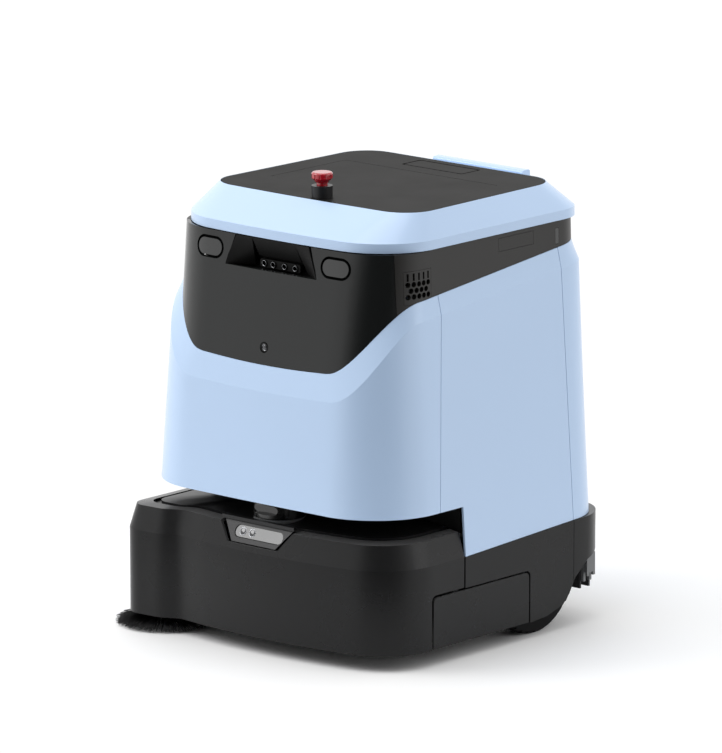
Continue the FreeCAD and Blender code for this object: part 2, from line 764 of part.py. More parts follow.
@functools.cache
def base_skirt():
    above = side_prism([(-400, side_base(-400) - SEAM_GAP), (300, side_base(300) - SEAM_GAP), (300, 300), (-400, 300)])
    behind_bumper = block(-300, 300, BUMPER_REAR + BUMPER_TRAVEL + 0.5, 400, 0, 300)
    return skirt_ring().cut(above).cut(wheel_sweep()).common(behind_bumper)


def base_side_panels():
    skirt = subtract(base_skirt(), [seam_rear(-SEAM_GAP / 2), door_window(2.5)])
    left = skirt.common(block(0, 300, -400, 400, 0, 300))
    return [left, mirrored(left)]


def tail_shelf():
    """The sloping top that closes the step between the tail and the blue body."""
    frame = ring([level(TAIL_PLAN, 100.0, 1.0), level(TAIL_PLAN, 150.0, 1.0), level(TAIL_PLAN, 150.0, 15.5),
                  level(TAIL_PLAN, 100.0, 15.5)])
    low, high = SEAM_GAP + 2.5, SEAM_GAP
    slab = side_prism([(0, side_base(0) - low), (300, side_base(300) - low), (300, side_base(300) - high),
                       (0, side_base(0) - high)])
    return frame.common(slab).common(seam_rear(SEAM_GAP / 2))


def tail_cover():
    """The rear of the base, with a window for the charging contacts."""
    cover = base_skirt().common(seam_rear(SEAM_GAP / 2)).fuse(tail_shelf())
    recess = block(-42, 42, TAIL_REAR - 10, TAIL_REAR + 10, 104, 124)
    return cover.cut(recess)


def charging_contacts():
    """Two copper strips on an insulating plate behind the tail's window."""
    plate = block(-46, 46, TAIL_REAR - SKIN - 4, TAIL_REAR - SKIN - 0.3, 100, 128)
    strips = [rounded_block(x - 14, x + 14, TAIL_REAR - SKIN - 1, TAIL_REAR - 1.0, 108, 120, 2.0, Y_AXIS)
              for x in (-21, 21)]
    return join([plate] + strips)


def side_door():
    """One side door: a thin plate with two knuckles on its bottom edge."""
    w = BASE_HALF_WIDTH
    plate = rounded_block(w - SKIN, w, DOOR_Y0, DOOR_Y1, DOOR_Z0 - 20, DOOR_Z1, 7.0, X_AXIS)
    plate = plate.cut(block(0, 300, -300, 300, 0, DOOR_Z0))
    shapes = [plate]
    for y in (-92.0, 24.0):
        shapes.append(rod(3.4, vec(DOOR_HINGE_X, y, DOOR_HINGE_Z), 16, Y_AXIS))
        shapes.append(block(DOOR_HINGE_X, w - SKIN + 0.5, y, y + 16, DOOR_HINGE_Z - 2, DOOR_HINGE_Z + 2))
    bore = rod(1.5 + RUNNING_CLEARANCE, vec(DOOR_HINGE_X, -120, DOOR_HINGE_Z), 240, Y_AXIS)
    return join(shapes).cut(bore)


def door_bracket():
    """The hinge pin of one door and the sheet-metal arm that holds it under the chassis."""
    shapes = [rod(1.5, vec(DOOR_HINGE_X, -93.5, DOOR_HINGE_Z), 135, Y_AXIS)]
    for y in (-70.0, 8.0):
        shapes.append(rod(2.1, vec(DOOR_HINGE_X, y, DOOR_HINGE_Z), 10, Y_AXIS))
        shapes.append(block(210, DOOR_HINGE_X, y, y + 10, DOOR_HINGE_Z - 1.2, DOOR_HINGE_Z + 1.3))
        shapes.append(block(210, 212.5, y, y + 10, DOOR_HINGE_Z - 1.2, CHASSIS_LOW + 2))
        shapes.append(block(192, 212.5, y, y + 10, CHASSIS_LOW - 2.5, CHASSIS_LOW))
    return join(shapes)


# ---- Chassis and frame ----

def chassis_plate():
    """The folded plate that everything is bolted to, with room for wheels, hose and guide rods."""
    front = block(-196, 196, -150, 18, CHASSIS_LOW, CHASSIS_HIGH)
    nose = prism([vec(-196, -150, CHASSIS_LOW), vec(-196, -186, CHASSIS_LOW), vec(-160, -198, CHASSIS_LOW),
                  vec(140, -198, CHASSIS_LOW), vec(192, -150, CHASSIS_LOW)], vec(0, 0, CHASSIS_HIGH - CHASSIS_LOW))
    middle = block(-150, 150, 18, 224, CHASSIS_LOW, CHASSIS_HIGH)
    rear = block(-190, 190, 186, 215, CHASSIS_LOW, CHASSIS_HIGH)
    plate = join([front, nose, middle, rear])
    holes = [rod(5.0 + RUNNING_CLEARANCE, vec(x, CASTER_Y, 90), 30, Z_AXIS) for x in (-CASTER_X, CASTER_X)]
    holes.append(rod(18.2, vec(0, SQUEEGEE_Y, 90), 30, Z_AXIS))
    holes += [rod(9.0, vec(x, SQUEEGEE_Y, 90), 30, Z_AXIS) for x in (-90, 90, 45)]
    holes.append(rod(6.0, vec(SIDE_BRUSH_X, SIDE_BRUSH_Y, 90), 30, Z_AXIS))
    return subtract(plate, holes)


def frame_posts():
    """Four square posts, welded to the chassis, up to the housing."""
    return [rounded_block(side * 176 - 6, side * 176 + 6, y - 6, y + 6, CHASSIS_HIGH, 345, 2.0, Z_AXIS)
            for side in (-1, 1) for y in (8, 196)]


def tank_tray():
    """The shelf that both tanks stand on."""
    tray = rounded_block(-184, 184, -150, 212, TRAY_TOP - 3, TRAY_TOP, 20.0, Z_AXIS)
    holes = [rod(18, vec(0, SQUEEGEE_Y, 195), 20, Z_AXIS), rod(8, vec(PUMP_X, 0, 195), 20, Z_AXIS)]
    return subtract(tray, holes)


def chassis_frame():
    """The welded frame: folded plate, posts, tank shelf and the arms that carry the door hinges."""
    arms = [door_bracket(), mirrored(door_bracket())]
    return join([chassis_plate()] + frame_posts() + [tank_tray()] + arms)


def bay_liner():
    """The LiDAR bay's black ceiling and its back wall, with a shallow vee towards the middle."""
    ceiling_plan = level(BODY_PLAN, 198.5, 8.5)
    ceiling = prism(ceiling_plan, vec(0, 0, 2.5)).common(block(-300, 300, -300, BAY_WALL + 1, 150, 250))
    wall = block(-209, 209, BAY_WALL, BAY_WALL + 3, 160, 201)
    return ceiling.fuse(wall).removeSplitter()


def sensor_bracket():
    """The leaning bracket in the front notch: a faceted plate under a small visor."""
    lean = math.tan(math.radians(26))
    z0, z1, y0 = 139.5, 165.0, -211.5
    y1 = y0 + (z1 - z0) * lean
    profile = side_prism([(y0, z0), (y0 + 9, z0), (y1 + 3.8, z1), (y1, z1)])
    outline = prism([vec(-37, -260, z0), vec(37, -260, z0), vec(58, -260, z1), vec(-58, -260, z1)], vec(0, 120, 0))
    plate = profile.common(outline)
    visor = prism([vec(-61, y1 - 3.5, z1), vec(61, y1 - 3.5, z1), vec(58, y1 + 3.8, z1), vec(-58, y1 + 3.8, z1)],
                  vec(0, 0, 4.5))
    foot = block(-30, 30, y0 + 4, -190, 112, 116)
    stem = block(-30, 30, y0 + 5, y0 + 9, 112, z0 + 1)
    window = stadium_prism(4, 152.5, 81, 15, -240, -180)
    return join([plate, visor, stem, foot]).cut(window)


def sensor_window():
    """The smoked window of the obstacle sensor, with two round lenses behind it."""
    lean = math.tan(math.radians(26))
    z0, z1, y0 = 139.5, 165.0, -211.5
    back = side_prism([(y0 + 1.2, z0), (y0 + 4.2, z0), (y0 + 4.2 + (z1 - z0) * lean, z1),
                       (y0 + 1.2 + (z1 - z0) * lean, z1)])
    pane = back.common(stadium_prism(4, 152.5, 80, 14, -240, -180))
    return pane


def lidar_base():
    """The LiDAR's fixed foot on the chassis, reaching up through the deck."""
    column = rod(LIDAR_RADIUS, vec(0, LIDAR_Y, 158), 12, Z_AXIS)
    neck = rod(20, vec(0, LIDAR_Y, CHASSIS_HIGH), 50, Z_AXIS)
    spindle_hole = rod(5.0 + RUNNING_CLEARANCE, vec(0, LIDAR_Y, 155), 20, Z_AXIS)
    return join([column, neck]).cut(spindle_hole)


def lidar_head():
    """The spinning LiDAR head, with its optics slot."""
    head = rod(LIDAR_RADIUS, vec(0, LIDAR_Y, 170.5), 22.5, Z_AXIS)
    edges = [e for e in head.Edges if abs(e.CenterOfMass.z - 193.0) < 0.01]
    head = head.makeFillet(2.5, edges)
    slot = stadium_prism(0, 182, 40, 12, LIDAR_Y - 60, LIDAR_Y - LIDAR_RADIUS + 7)
    spindle = rod(5.0, vec(0, LIDAR_Y, 158), 13, Z_AXIS)
    return join([head.cut(slot), spindle])


# ---- What the casing holds ----

def battery_pack():
    case = rounded_block(-142, 142, 66, 178, CHASSIS_HIGH, 196, 5.0, Z_AXIS)
    grips = [block(x - 22, x + 22, 60, 184, 178, 182) for x in (-80, 80)]
    return join([case] + grips)


def control_box():
    case = rounded_block(-62, 62, -48, 56, CHASSIS_HIGH, 190, 3.0, Z_AXIS)
    fins = [block(-58, 58, y, y + 2, 189, 198) for y in range(-44, 54, 8)]
    return join([case] + fins)


def tank(x_half, y0, y1, neck_y, neck_radius):
    """A moulded tank: a thin closed wall with a round neck on top."""
    wall, corner = 2.5, 40.0
    z0, z1 = TRAY_TOP + 0.2, TANK_TOP
    outer = rounded_block(-x_half, x_half, y0, y1, z0, z1, corner, Z_AXIS)
    inner = rounded_block(-x_half + wall, x_half - wall, y0 + wall, y1 - wall, z0 + wall, z1 - wall, corner - wall,
                          Z_AXIS)
    neck = rod(neck_radius, vec(0, neck_y, z1 - 1), 19, Z_AXIS)
    mouth = rod(neck_radius - 2.5, vec(0, neck_y, z1 - 10), 40, Z_AXIS)
    return subtract(join([outer, neck]).cut(inner), [mouth])


def clean_tank():
    outlet = rod(5.0, vec(PUMP_X, 0, 200), 20, Z_AXIS)
    return tank(150, -150, 26, *CLEAN_NECK).cut(outlet)


def recovery_tank():
    inlet = rod(14.3, vec(0, SQUEEGEE_Y - 12, 200), 20, Z_AXIS)
    return tank(160, 32, 212, *RECOVERY_NECK).cut(inlet)


def tank_cap(neck):
    """A ribbed cap seated over a tank's neck."""
    y, radius = neck
    outer = radius + 6
    cap = rod(outer, vec(0, y, TANK_TOP + 3), 20, Z_AXIS)
    room = rod(radius + 0.3, vec(0, y, TANK_TOP), 18.2, Z_AXIS)
    ribs = []
    for i in range(24):
        a = 2 * math.pi * i / 24
        ribs.append(rod(1.8, vec((outer + 0.8) * math.cos(a), y + (outer + 0.8) * math.sin(a), TANK_TOP), 30, Z_AXIS))
    return subtract(cap, [room] + ribs)


def vacuum_housing():
    """The suction motor's housing, with room inside for the impeller."""
    outer = rod(44, vec(FAN_X, FAN_Y, CHASSIS_HIGH), 86, Z_AXIS)
    chamber = rod(38, vec(FAN_X, FAN_Y, 160), 26, Z_AXIS)
    inlet = rod(14, vec(FAN_X, FAN_Y, 180), 30, Z_AXIS)
    shaft_bore = rod(4.0 + RUNNING_CLEARANCE, vec(FAN_X, FAN_Y, 130), 40, Z_AXIS)
    return subtract(outer, [chamber, inlet, shaft_bore])


def fan_impeller():
    """Curved blades between two discs, on a short shaft."""
    centre = vec(FAN_X, FAN_Y, 163)
    shapes = [rod(36, centre, 2, Z_AXIS), rod(4.0, vec(FAN_X, FAN_Y, 135), 45, Z_AXIS),
              rod(9.0, centre, 14, Z_AXIS)]
    for i in range(9):
        blade = block(7, 34, -0.8, 0.8, 164, 178)
        blade.rotate(vec(7, 0, 0), Z_AXIS, 24)
        blade.rotate(vec(0, 0, 0), Z_AXIS, 40 * i)
        blade.translate(vec(FAN_X, FAN_Y, 0))
        shapes.append(blade)
    return join(shapes).common(rod(36, vec(FAN_X, FAN_Y, 120), 100, Z_AXIS))


def suction_riser():
    """The hose from the squeegee's pipe up into the recovery tank, with its bellows rings."""
    inner = 14.3
    straight = tube(inner + 2.7, inner, vec(0, SQUEEGEE_Y, 112), 92, Z_AXIS)
    rings = [tube(inner + 3.6, inner + 2.0, vec(0, SQUEEGEE_Y, z), 3, Z_AXIS) for z in range(150, 200, 8)]
    return join([straight] + rings)


def water_pump():
    """The clean-water pump, with its pipe up to the tank."""
    deck = CHASSIS_HIGH
    body = rod(20, vec(PUMP_X, 0, deck), 36, Z_AXIS)
    head = rounded_block(PUMP_X - 18, PUMP_X + 18, -18, 18, deck + 36, deck + 52, 6.0, Z_AXIS)
    pipe = rod(4.8, vec(PUMP_X, 0, deck + 51), 46, Z_AXIS)
    channel = rod(3.2, vec(PUMP_X, 0, deck + 46), 60, Z_AXIS)
    return join([body, head, pipe]).cut(channel)


# ---- Scrubbing roller and its drive ----

def roller_hood():
    """The arched cover over the roller, with end plates that hold its bearings."""
    centre = vec(-190, ROLLER_Y, ROLLER_Z)
    arch = tube(53, 50, centre, 380, X_AXIS).common(block(-200, 200, -200, 200, ROLLER_Z, 200))
    walls = [block(-190, 190, ROLLER_Y - 53, ROLLER_Y - 50, 24, ROLLER_Z + 0.5),
             block(-190, 190, ROLLER_Y + 50, ROLLER_Y + 53, 24, ROLLER_Z + 0.5)]
    ends = []
    for x in (-190, 187):
        end = join([rod(53, vec(x, ROLLER_Y, ROLLER_Z), 3, X_AXIS), block(x, x + 3, ROLLER_Y - 53, ROLLER_Y + 53, 24,
                                                                         ROLLER_Z)])
        ends.append(end.common(block(-300, 300, -300, 300, 24, 300)))
    bearing_seats = rod(13.0, vec(-200, ROLLER_Y, ROLLER_Z), 400, X_AXIS)
    return join([arch] + walls + ends).cut(bearing_seats)


def roller_bearings():
    bearings = []
    for x in (-191, 184):
        bearings.append(tube(13.0, 6.0 + RUNNING_CLEARANCE, vec(x, ROLLER_Y, ROLLER_Z), 7, X_AXIS))
    return bearings


def roller_core():
    """The roller's tube, its end journals, and the belt pulley on the right end."""
    tube_body = rod(24, vec(-ROLLER_HALF_LENGTH, ROLLER_Y, ROLLER_Z), 2 * ROLLER_HALF_LENGTH, X_AXIS)
    journal = rod(6.0, vec(-212, ROLLER_Y, ROLLER_Z), 405, X_AXIS)
    pulley = belt_pulley(ROLLER_PULLEY_RADIUS, ROLLER_Y, ROLLER_Z)
    return join([tube_body, journal, pulley])


def belt_pulley(radius, y, z):
    """A flanged belt pulley; the belt runs between the flanges."""
    start = BELT_X
    wheel = rod(radius, vec(start - 0.5, y, z), BELT_WIDTH + 1.0, X_AXIS)
    flanges = [rod(radius + 2.5, vec(start - 1.5, y, z), 1.0, X_AXIS),
               rod(radius + 2.5, vec(start + BELT_WIDTH + 0.5, y, z), 1.0, X_AXIS)]
    return join([wheel] + flanges)


def roller_bristles():
    """The bristle sleeve: a tube with helical grooves, simplified to straight channels."""
    half = ROLLER_HALF_LENGTH - 4
    sleeve = tube(ROLLER_RADIUS, 24.0, vec(-half, ROLLER_Y, ROLLER_Z), 2 * half, X_AXIS)
    grooves = []
    for i in range(8):
        a = 2 * math.pi * i / 8
        y, z = ROLLER_Y + ROLLER_RADIUS * math.cos(a), ROLLER_Z + ROLLER_RADIUS * math.sin(a)
        grooves.append(rod(6.0, vec(-half - 1, y, z), 2 * half + 2, X_AXIS))
    return subtract(sleeve, grooves)


def drive_belt():
    """The belt loop round both pulleys."""
    gap = 0.15
    span = MOTOR_Z - ROLLER_Z
    return belt_loop(ROLLER_PULLEY_RADIUS + gap + 1.8, MOTOR_PULLEY_RADIUS + gap + 1.8, span).cut(
        belt_loop(ROLLER_PULLEY_RADIUS + gap, MOTOR_PULLEY_RADIUS + gap, span))


def belt_loop(low_radius, high_radius, span):
    """The filled outline of a belt round two pulleys, one above the other."""
    sine = (low_radius - high_radius) / span
    cosine = math.sqrt(1 - sine * sine)
    points = []
    for z, r in ((0.0, low_radius), (span, high_radius)):
        points.append((r * cosine, z + r * sine))
    quad = [vec(BELT_X, ROLLER_Y + y, ROLLER_Z + z) for y, z in
            (points[0], points[1], (-points[1][0], points[1][1]), (-points[0][0], points[0][1]))]
    return join([prism(quad, vec(BELT_WIDTH, 0, 0)),
                 rod(low_radius, vec(BELT_X, ROLLER_Y, ROLLER_Z), BELT_WIDTH, X_AXIS),
                 rod(high_radius, vec(BELT_X, ROLLER_Y, MOTOR_Z), BELT_WIDTH, X_AXIS)])


def roller_motor():
    can = rod(22, vec(-192, ROLLER_Y, MOTOR_Z), 66, X_AXIS)
    foot = block(-190, -130, ROLLER_Y - 20, ROLLER_Y + 20, CHASSIS_HIGH, MOTOR_Z - 12)
    bore = rod(4.0 + RUNNING_CLEARANCE, vec(-200, ROLLER_Y, MOTOR_Z), 40, X_AXIS)
    return join([can, foot]).cut(bore)


def motor_pulley():
    shaft = rod(4.0, vec(-210, ROLLER_Y, MOTOR_Z), 44, X_AXIS)
    return join([belt_pulley(MOTOR_PULLEY_RADIUS, ROLLER_Y, MOTOR_Z), shaft])


# ---- Side brush ----

def side_brush_motor():
    can = rod(19, vec(SIDE_BRUSH_X, SIDE_BRUSH_Y, 40), CHASSIS_LOW - 40, Z_AXIS)
    collar = rod(12, vec(SIDE_BRUSH_X, SIDE_BRUSH_Y, 30), 11, Z_AXIS)
    bore = rod(4.0 + RUNNING_CLEARANCE, vec(SIDE_BRUSH_X, SIDE_BRUSH_Y, 20), 40, Z_AXIS)
    return join([can, collar]).cut(bore)


def side_brush_hub():
    centre = vec(SIDE_BRUSH_X, SIDE_BRUSH_Y, 0)
    dome = Part.makeCone(24, 14, 10, centre + vec(0, 0, 12), Z_AXIS)
    disc = rod(26, centre + vec(0, 0, 8), 4.5, Z_AXIS)
    shaft = rod(4.0, centre + vec(0, 0, 12), 38, Z_AXIS)
    return join([dome, disc, shaft])


def side_brush_bristles():
    """The fan of bristles as one dished skirt, from the hub's rim out and down to the floor."""
    centre = vec(SIDE_BRUSH_X, SIDE_BRUSH_Y, 0)
    outer = Part.makeCone(SIDE_BRUSH_RADIUS, 26.5, 14.5, centre + vec(0, 0, 1.5), Z_AXIS)
    inner = Part.makeCone(58, 22, 11.5, centre + vec(0, 0, 0.5), Z_AXIS)
    hub_room = rod(26.3, centre, 40, Z_AXIS)
    return subtract(outer, [inner, hub_room])


# ---- Drive wheels and casters ----

def wheel_profile_ring(outer, inner, x0, x1, radius):
    """A ring about the wheel axle with rounded outer edges."""
    shape = tube(outer, inner, vec(x0, WHEEL_Y, WHEEL_RADIUS), x1 - x0, X_AXIS)
    edges = [e for e in shape.Edges if abs(e.BoundBox.YLength - 2 * outer) < 0.5 and e.BoundBox.XLength < 0.01]
    return shape.makeFillet(radius, edges)


def wheel_tyre():
    """The rubber tyre, with small tread grooves across its face."""
    x0, x1 = WHEEL_OUTER_X - WHEEL_WIDTH, WHEEL_OUTER_X
    tyre = wheel_profile_ring(WHEEL_RADIUS, 60.0, x0, x1, 4.0)
    grooves = []
    count = 36
    for i in range(count):
        groove = block(x0 - 1, x0 + 14, -1.2, 1.2, WHEEL_RADIUS - 3.0, WHEEL_RADIUS + 5)
        other = block(x1 - 14, x1 + 1, -1.2, 1.2, WHEEL_RADIUS - 3.0, WHEEL_RADIUS + 5)
        for shape, turn in ((groove, 360.0 / count * i), (other, 360.0 / count * (i + 0.5))):
            shape.rotate(vec(0, 0, 0), X_AXIS, turn + 2.5)
            shape.translate(vec(0, WHEEL_Y, WHEEL_RADIUS))
            grooves.append(shape)
    return tyre.cut(Part.makeCompound(grooves))


def wheel_rim():
    """The wheel's dished hub, on its stub shaft."""
    x0, x1 = WHEEL_OUTER_X - WHEEL_WIDTH + 3, WHEEL_OUTER_X - 3
    start = vec(x0, WHEEL_Y, WHEEL_RADIUS)
    rim = tube(60.0, 52.0, start, x1 - x0, X_AXIS)
    web = rod(53, vec(x0 + 14, WHEEL_Y, WHEEL_RADIUS), 6, X_AXIS)
    boss = rod(16, vec(x0 + 4, WHEEL_Y, WHEEL_RADIUS), 26, X_AXIS)
    shaft = rod(6.0, vec(135, WHEEL_Y, WHEEL_RADIUS), 60, X_AXIS)
    holes = []
    for i in range(6):
        a = math.pi / 3 * i
        holes.append(rod(9, vec(x0, WHEEL_Y + 34 * math.cos(a), WHEEL_RADIUS + 34 * math.sin(a)), 50, X_AXIS))
    return subtract(join([rim, web, boss]), holes).fuse(shaft).removeSplitter()


def gearmotor():
    gearbox = rod(27, vec(118, WHEEL_Y, WHEEL_RADIUS), 40, X_AXIS)
    motor = rod(20, vec(52, WHEEL_Y, WHEEL_RADIUS), 67, X_AXIS)
    bracket = block(122, 150, WHEEL_Y - 20, WHEEL_Y + 20, WHEEL_RADIUS + 18, CHASSIS_LOW)
    bore = rod(6.0 + RUNNING_CLEARANCE, vec(130, WHEEL_Y, WHEEL_RADIUS), 40, X_AXIS)
    return join([gearbox, motor, bracket]).cut(bore)


def caster_fork():
    """The swivelling fork, with its stem up through the chassis and the wheel's axle across it."""
    x, y = CASTER_X, CASTER_Y
    stem = rod(5.0, vec(x, y, 96), 14, Z_AXIS)
    crown = rod(15, vec(x, y, 95), 8.5, Z_AXIS)
    bridge = rounded_block(x - 15, x + 15, y - 10, y + CASTER_TRAIL + 8, 92, 96, 4.0, Z_AXIS)
    shapes = [stem, crown, bridge]
    for side in (-1, 1):
        x0 = x + side * 13.5 - 1.5
        leg = prism([vec(x0, y - 9, 94), vec(x0, y + CASTER_TRAIL + 7, 94), vec(x0, y + CASTER_TRAIL + 7, 22),
                     vec(x0, y + CASTER_TRAIL - 7, 22)], vec(3, 0, 0))
        shapes.append(leg)
    shapes.append(rod(4.0, vec(x - 16, y + CASTER_TRAIL, CASTER_RADIUS), 32, X_AXIS))
    return join(shapes)


def caster_wheel():
    x, y = CASTER_X, CASTER_Y + CASTER_TRAIL
    wheel = tube(CASTER_RADIUS, 4.0 + RUNNING_CLEARANCE, vec(x - 10, y, CASTER_RADIUS), 20, X_AXIS)
    edges = [e for e in wheel.Edges if abs(e.BoundBox.YLength - 2 * CASTER_RADIUS) < 0.5 and e.BoundBox.XLength < 0.01]
    return wheel.makeFillet(3.0, edges)


# ---- Squeegee ----

def squeegee_bar():
    """The squeegee's channel, with end plates, guide rods and the lift rod."""
    z0, z1 = 62.0, 82.0
    half = 212.0
    channel = block(-half, half, SQUEEGEE_Y - 7, SQUEEGEE_Y + 7, z0, z1)
    hollow = block(-half + 3, half - 3, SQUEEGEE_Y - 4, SQUEEGEE_Y + 4, z0 - 1, z1 - 3)
    ends = [block(side * 210.5 - 1.5, side * 210.5 + 1.5, SQUEEGEE_Y - 8, SQUEEGEE_Y + 8, 58, 88.5)
            for side in (-1, 1)]
    ribs = [block(side * 204 - 2, side * 204 + 2, SQUEEGEE_Y - 8, SQUEEGEE_Y + 8, 50, 88.5) for side in (-1, 1)]
    rods = [rod(5.0, vec(x, SQUEEGEE_Y, z1 - 1), 84, Z_AXIS) for x in (-90, 90)]
    lift = rod(4.0, vec(45, SQUEEGEE_Y, z1 - 1), 75, Z_AXIS)
    slots = block(-half - 5, half + 5, SQUEEGEE_Y - 3.9, SQUEEGEE_Y + 3.9, 40, z0 + 0.5)
    pipe = rod(14.0, vec(0, SQUEEGEE_Y, z1 - 1), 101, Z_AXIS)
    throat = rod(11.5, vec(0, SQUEEGEE_Y, z0 - 5), 140, Z_AXIS)
    bar = join([channel.cut(hollow)] + ends + ribs + rods + [lift, pipe])
    return subtract(bar, [throat, slots])


def squeegee_blade(side):
    """One rubber blade on the outside of the channel; the front one is notched to let water in."""
    y0 = SQUEEGEE_Y + (7.2 if side > 0 else -10.2)
    blade = block(-201.5, 201.5, y0, y0 + 3.0, SQUEEGEE_LOW, 72)
    notches = [block(x, x + 4, y0 - 1, y0 + 4, SQUEEGEE_LOW - 1, SQUEEGEE_LOW + 4) for x in range(-195, 195, 15)]
    return subtract(blade, notches) if side < 0 else blade


def squeegee_guides():
    """The two bushes that the squeegee's rods slide in."""
    return [tube(12.0, 5.0 + RUNNING_CLEARANCE, vec(x, SQUEEGEE_Y, CHASSIS_HIGH), 24, Z_AXIS) for x in (-90, 90)]


def lift_actuator():
    body = rounded_block(28, 62, SQUEEGEE_Y - 12, SQUEEGEE_Y + 9, CHASSIS_HIGH, 186, 4.0, Z_AXIS)
    bore = rod(4.0 + RUNNING_CLEARANCE, vec(45, SQUEEGEE_Y, 100), 70, Z_AXIS)
    return body.cut(bore)


def chassis_screws():
    """Button-head screws on the chassis plate."""
    screws = []
    for x, y in ((-185, -140), (185, -120), (-142, 48), (142, 48), (-160, 208), (160, 208)):
        screws.append(rod(5.0, vec(x, y, CHASSIS_HIGH), 2.6, Z_AXIS))
    return screws


# ---- Export ----

def export(name, shape):
    solids = shape if isinstance(shape, (list, tuple)) else [shape]
    flat = []
    for item in solids:
        flat += item.Solids
    for solid in flat:
        if not solid.isValid() or solid.Volume <= 0:
            print("check", name, solid.isValid(), round(solid.Volume, 1))
    result = flat[0] if len(flat) == 1 else Part.makeCompound(flat)
    result = result.copy()
    result.translate(vec(ORIGIN_SHIFT_X, 0, 0))
    result.exportStep("parts/" + name + ".step")
    print(name, len(flat), round(sum(s.Volume for s in flat) / 1000.0, 1), "cm3")


def export_pair(name, shape):
    """A piece of the left side (+X) and its mirror image on the right."""
    export(name + "_left", shape)
    export(name + "_right", mirrored(shape))


def main():
    os.makedirs("parts", exist_ok=True)
    export("chassis_frame", chassis_frame())
    export("chassis_screws", chassis_screws())
    export("bay_liner", bay_liner())
    export("front_deck", front_deck())
    export("front_shell", front_shell())
    export("body_side_panels", body_side_panels())
    export("rear_shell", rear_shell())
    export("front_mask", front_mask())
    export("mask_liner", pocket_liner() + camera_bezels())
    export("sensor_windows", camera_windows() + [sensor_window()])
    export("cameras", [depth_camera(), front_camera()])
    export("upper_band", upper_band())
    export("vent_grilles", [vent_grille(1), vent_grille(-1)])
    export("port_cover", side_piece(PORT, 1))
    export("status_lights", [side_piece(LIGHT, 1), side_piece(LIGHT, -1)])
    export("side_panels", base_side_panels())
    export("tail_cover", tail_cover())
    export("charging_contacts", charging_contacts())
    export("sensor_bracket", sensor_bracket())
    export("lidar_base", lidar_base())
    export("battery_pack", battery_pack())
    export("control_box", control_box())
    export("clean_tank", clean_tank())
    export("recovery_tank", recovery_tank())
    export("tank_caps", [tank_cap(CLEAN_NECK), tank_cap(RECOVERY_NECK)])
    export("vacuum_housing", vacuum_housing())
    export("suction_riser", suction_riser())
    export("roller_hood", roller_hood())
    export("roller_bearings", roller_bearings())
    export("drive_belt", drive_belt())
    export("motors", [roller_motor(), side_brush_motor(), water_pump(), gearmotor(), mirrored(gearmotor())])
    export("squeegee_guides", squeegee_guides() + [lift_actuator()])
    export("hinge_bracket", [hinge_bracket(), lid_hinge_pin()])
    export("lid_rim", [lid_rim(), hinge_cover()])
    export("lid_panel", [lid_panel(), display()])
    export("fill_cup", [fill_cup(), flap_pin()])
    export("stop_body", stop_body())
    export("flap", flap())
    export("stop_plunger", stop_plunger())
    export("stop_cap", stop_cap())
    export("bumper", bumper())
    export_pair("side_door", side_door())
    export("roller_core", roller_core())
    export("roller_bristles", roller_bristles())
    export("motor_pulley", motor_pulley())
    export("side_brush_hub", side_brush_hub())
    export("side_brush_bristles", side_brush_bristles())
    export_pair("wheel_tyre", wheel_tyre())
    export_pair("wheel_rim", wheel_rim())
    export_pair("caster_fork", caster_fork())
    export_pair("caster_wheel", caster_wheel())
    export("lidar_head", lidar_head())
    export("fan_impeller", fan_impeller())
    export("squeegee_bar", squeegee_bar())
    export("squeegee_blades", [squeegee_blade(1), squeegee_blade(-1)])


main()
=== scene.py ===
"""Looks of the compact floor-cleaning robot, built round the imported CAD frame.  Metres, CAD frame."""
import bmesh
import bpy
import math
import random
from mathutils import Matrix, Vector


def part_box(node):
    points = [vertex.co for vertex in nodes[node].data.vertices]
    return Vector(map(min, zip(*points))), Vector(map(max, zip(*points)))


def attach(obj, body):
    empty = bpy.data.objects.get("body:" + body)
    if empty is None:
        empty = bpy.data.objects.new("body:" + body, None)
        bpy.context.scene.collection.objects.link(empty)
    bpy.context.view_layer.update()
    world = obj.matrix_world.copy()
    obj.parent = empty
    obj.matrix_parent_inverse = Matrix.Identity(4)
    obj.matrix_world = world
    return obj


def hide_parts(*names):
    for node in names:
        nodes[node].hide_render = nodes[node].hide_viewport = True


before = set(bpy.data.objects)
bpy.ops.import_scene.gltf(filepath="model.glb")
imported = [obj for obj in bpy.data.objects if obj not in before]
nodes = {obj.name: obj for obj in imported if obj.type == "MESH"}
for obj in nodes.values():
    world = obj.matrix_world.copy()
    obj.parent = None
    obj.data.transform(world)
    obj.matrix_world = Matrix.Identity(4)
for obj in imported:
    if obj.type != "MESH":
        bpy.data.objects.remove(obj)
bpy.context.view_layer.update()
random.seed(7)

MIDDLE_X = 0.017            # the body's plane of symmetry

# Surface textures
COAT_ROUGHNESS = 0.08
COLOUR_PATCHES = 6.0        # noise scales, per metre
GLOSS_PATCHES = 18.0
PATCH_DETAIL = 3
GRAIN_DETAIL = 2
RELIEF_DEPTH = 0.0002
# Painted highlight: a paler colour on faces that point up, standing in for the light the base's bevels
# reflect
PAINTED_HIGHLIGHT_STARTS = 0.25          # how far a face points up, from 0 to 1
PAINTED_HIGHLIGHT_FULL = 0.80
PAINTED_HIGHLIGHT_COLOUR = (0.085, 0.085, 0.086)

# Rounded edges
SHELLS = ["front_shell", "body_side_panels", "rear_shell", "lid_rim", "upper_band"]
BASE_PARTS = ["bumper", "front_deck", "side_panels", "side_door_left", "side_door_right"]
SHELL_EDGE = 0.0012
BASE_EDGE = 0.0010
EDGE_SEGMENTS = 2
SHARP_ANGLE = math.radians(40)

